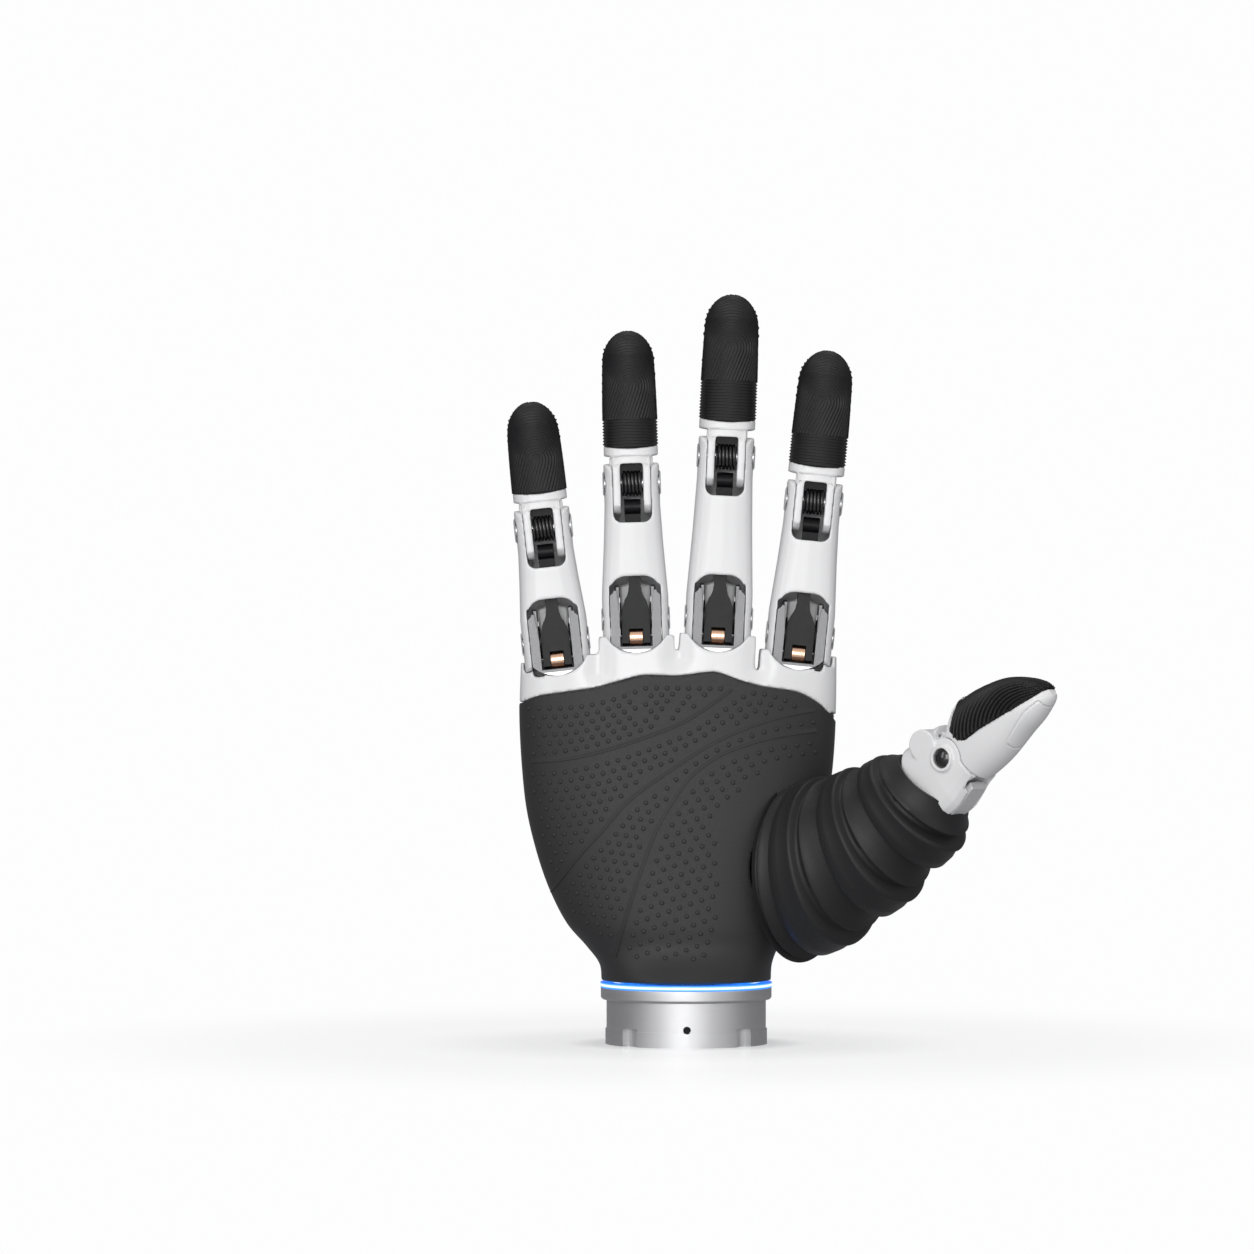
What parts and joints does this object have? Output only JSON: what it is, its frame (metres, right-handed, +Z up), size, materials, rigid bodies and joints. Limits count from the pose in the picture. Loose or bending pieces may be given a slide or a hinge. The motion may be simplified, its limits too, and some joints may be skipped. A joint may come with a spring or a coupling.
{
  "type": "dexterous robot hand",
  "caption": "Human-sized right robot hand: coupled two-joint fingers, swinging thumb in a banded rubber sleeve, ridged fingertip pads and a round quick-change wrist.",
  "frame": {"origin": "centre of the wrist coupling's bottom face", "axes": "+Z up along the fingers, -Y the palm side, +X the thumb side"},
  "size_m": [0.1414, 0.08, 0.1972],
  "materials": {
    "satin_aluminium": "satin turned aluminium",
    "light_strip": "lit translucent ring, blue edge",
    "white_shell": "satin white moulded shell",
    "palm_rubber": "matte dark grey silicone with raised dots",
    "sleeve_rubber": "matte near-black banded rubber",
    "tip_rubber": "matte black rubber with fine ridges",
    "motor_steel": "plated steel",
    "board_green": "solder mask",
    "black_plastic": "gloss black",
    "screw_steel": "dark steel",
    "knuckle_metal": "fine blasted grey metal",
    "pin_steel": "polished steel head",
    "dark_lever": "black satin",
    "bronze": "polished bronze",
    "black_spring": "gloss black spring wire"
  },
  "bodies": {
    "palm": {"wrist_coupling": "satin_aluminium", "wrist_flange": "satin_aluminium", "light_ring": "light_strip", "palm_frame": "white_shell", "palm_skin": "palm_rubber", "back_cover": "white_shell", "finger_motors": "motor_steel", "control_board": "board_green", "wrist_plug": "black_plastic", "cover_screws": "screw_steel", "thumb_axle": "motor_steel", "little_knuckle": "knuckle_metal", "ring_knuckle": "knuckle_metal", "middle_knuckle": "knuckle_metal", "index_knuckle": "knuckle_metal"},
    "little_finger": {"little_knuckle_pin": "pin_steel", "little_lever": "dark_lever", "little_roller": "bronze", "little_casing": "white_shell", "little_middle_pin": "pin_steel", "little_spring": "black_spring", "little_coupler": "black_plastic"},
    "little_fingertip": {"little_tip": "white_shell", "little_pad": "tip_rubber"},
    "ring_finger": {"ring_knuckle_pin": "pin_steel", "ring_lever": "dark_lever", "ring_roller": "bronze", "ring_casing": "white_shell", "ring_middle_pin": "pin_steel", "ring_spring": "black_spring", "ring_coupler": "black_plastic"},
    "ring_fingertip": {"ring_tip": "white_shell", "ring_pad": "tip_rubber"},
    "middle_finger": {"middle_knuckle_pin": "pin_steel", "middle_lever": "dark_lever", "middle_roller": "bronze", "middle_casing": "white_shell", "middle_middle_pin": "pin_steel", "middle_spring": "black_spring", "middle_coupler": "black_plastic"},
    "middle_fingertip": {"middle_tip": "white_shell", "middle_pad": "tip_rubber"},
    "index_finger": {"index_knuckle_pin": "pin_steel", "index_lever": "dark_lever", "index_roller": "bronze", "index_casing": "white_shell", "index_middle_pin": "pin_steel", "index_spring": "black_spring", "index_coupler": "black_plastic"},
    "index_fingertip": {"index_tip": "white_shell", "index_pad": "tip_rubber"},
    "thumb_base": {"thumb_carrier": "screw_steel", "thumb_sleeve_lower": "sleeve_rubber", "thumb_root_pin": "motor_steel"},
    "thumb_link": {"thumb_arm": "white_shell", "thumb_tip_pin": "black_plastic", "thumb_strap": "screw_steel", "thumb_sleeve_upper": "sleeve_rubber"},
    "thumb_end": {"thumb_tip": "white_shell", "thumb_pad": "tip_rubber"}
  },
  "joints": [
    {"name": "little_knuckle_bend", "type": "hinge", "parent": "palm", "child": "little_finger", "pos_m": [-0.0344, -0.003, 0.106], "axis": [0.9942, 0, 0.108], "range_deg": [0, 78]},
    {"name": "little_tip_bend", "type": "hinge", "parent": "little_finger", "child": "little_fingertip", "pos_m": [-0.03763, -0.003, 0.13573], "axis": [0.9942, 0, 0.108], "range_deg": [0, 86]},
    {"name": "ring_knuckle_bend", "type": "hinge", "parent": "palm", "child": "ring_finger", "pos_m": [-0.0133, -0.003, 0.1119], "axis": [0.9996, 0, 0.0297], "range_deg": [0, 78]},
    {"name": "ring_tip_bend", "type": "hinge", "parent": "ring_finger", "child": "ring_fingertip", "pos_m": [-0.01436, -0.003, 0.14758], "axis": [0.9996, 0, 0.0297], "range_deg": [0, 86]},
    {"name": "middle_knuckle_bend", "type": "hinge", "parent": "palm", "child": "middle_finger", "pos_m": [0.0085, -0.003, 0.1122], "axis": [0.999, 0, -0.0454], "range_deg": [0, 78]},
    {"name": "middle_tip_bend", "type": "hinge", "parent": "middle_finger", "child": "middle_fingertip", "pos_m": [0.01042, -0.003, 0.15456], "axis": [0.999, 0, -0.0454], "range_deg": [0, 86]},
    {"name": "index_knuckle_bend", "type": "hinge", "parent": "palm", "child": "index_finger", "pos_m": [0.0299, -0.003, 0.1075], "axis": [0.9949, 0, -0.1011], "range_deg": [0, 78]},
    {"name": "index_tip_bend", "type": "hinge", "parent": "index_finger", "child": "index_fingertip", "pos_m": [0.03348, -0.003, 0.14272], "axis": [0.9949, 0, -0.1011], "range_deg": [0, 86]},
    {"name": "thumb_swing", "type": "hinge", "parent": "palm", "child": "thumb_base", "pos_m": [0.021, -0.003, 0.04], "axis": [0, 0, 1], "range_deg": [-45, 22], "deforming": ["thumb_sleeve_lower"]},
    {"name": "thumb_bend", "type": "hinge", "parent": "thumb_base", "child": "thumb_link", "pos_m": [0.033, -0.009, 0.05], "axis": [-0.6157, -0.788, 0], "range_deg": [0, 30], "deforming": ["thumb_sleeve_upper"]},
    {"name": "thumb_tip_bend", "type": "hinge", "parent": "thumb_link", "child": "thumb_end", "pos_m": [0.07025, -0.0381, 0.0761], "axis": [-0.6157, -0.788, 0], "range_deg": [0, 30]}
  ],
  "couplings": [
    {"joint": "little_tip_bend", "follows": "little_knuckle_bend", "ratio": 1.1},
    {"joint": "ring_tip_bend", "follows": "ring_knuckle_bend", "ratio": 1.1},
    {"joint": "middle_tip_bend", "follows": "middle_knuckle_bend", "ratio": 1.1},
    {"joint": "index_tip_bend", "follows": "index_knuckle_bend", "ratio": 1.1},
    {"joint": "thumb_tip_bend", "follows": "thumb_bend", "ratio": 1}
  ]
}
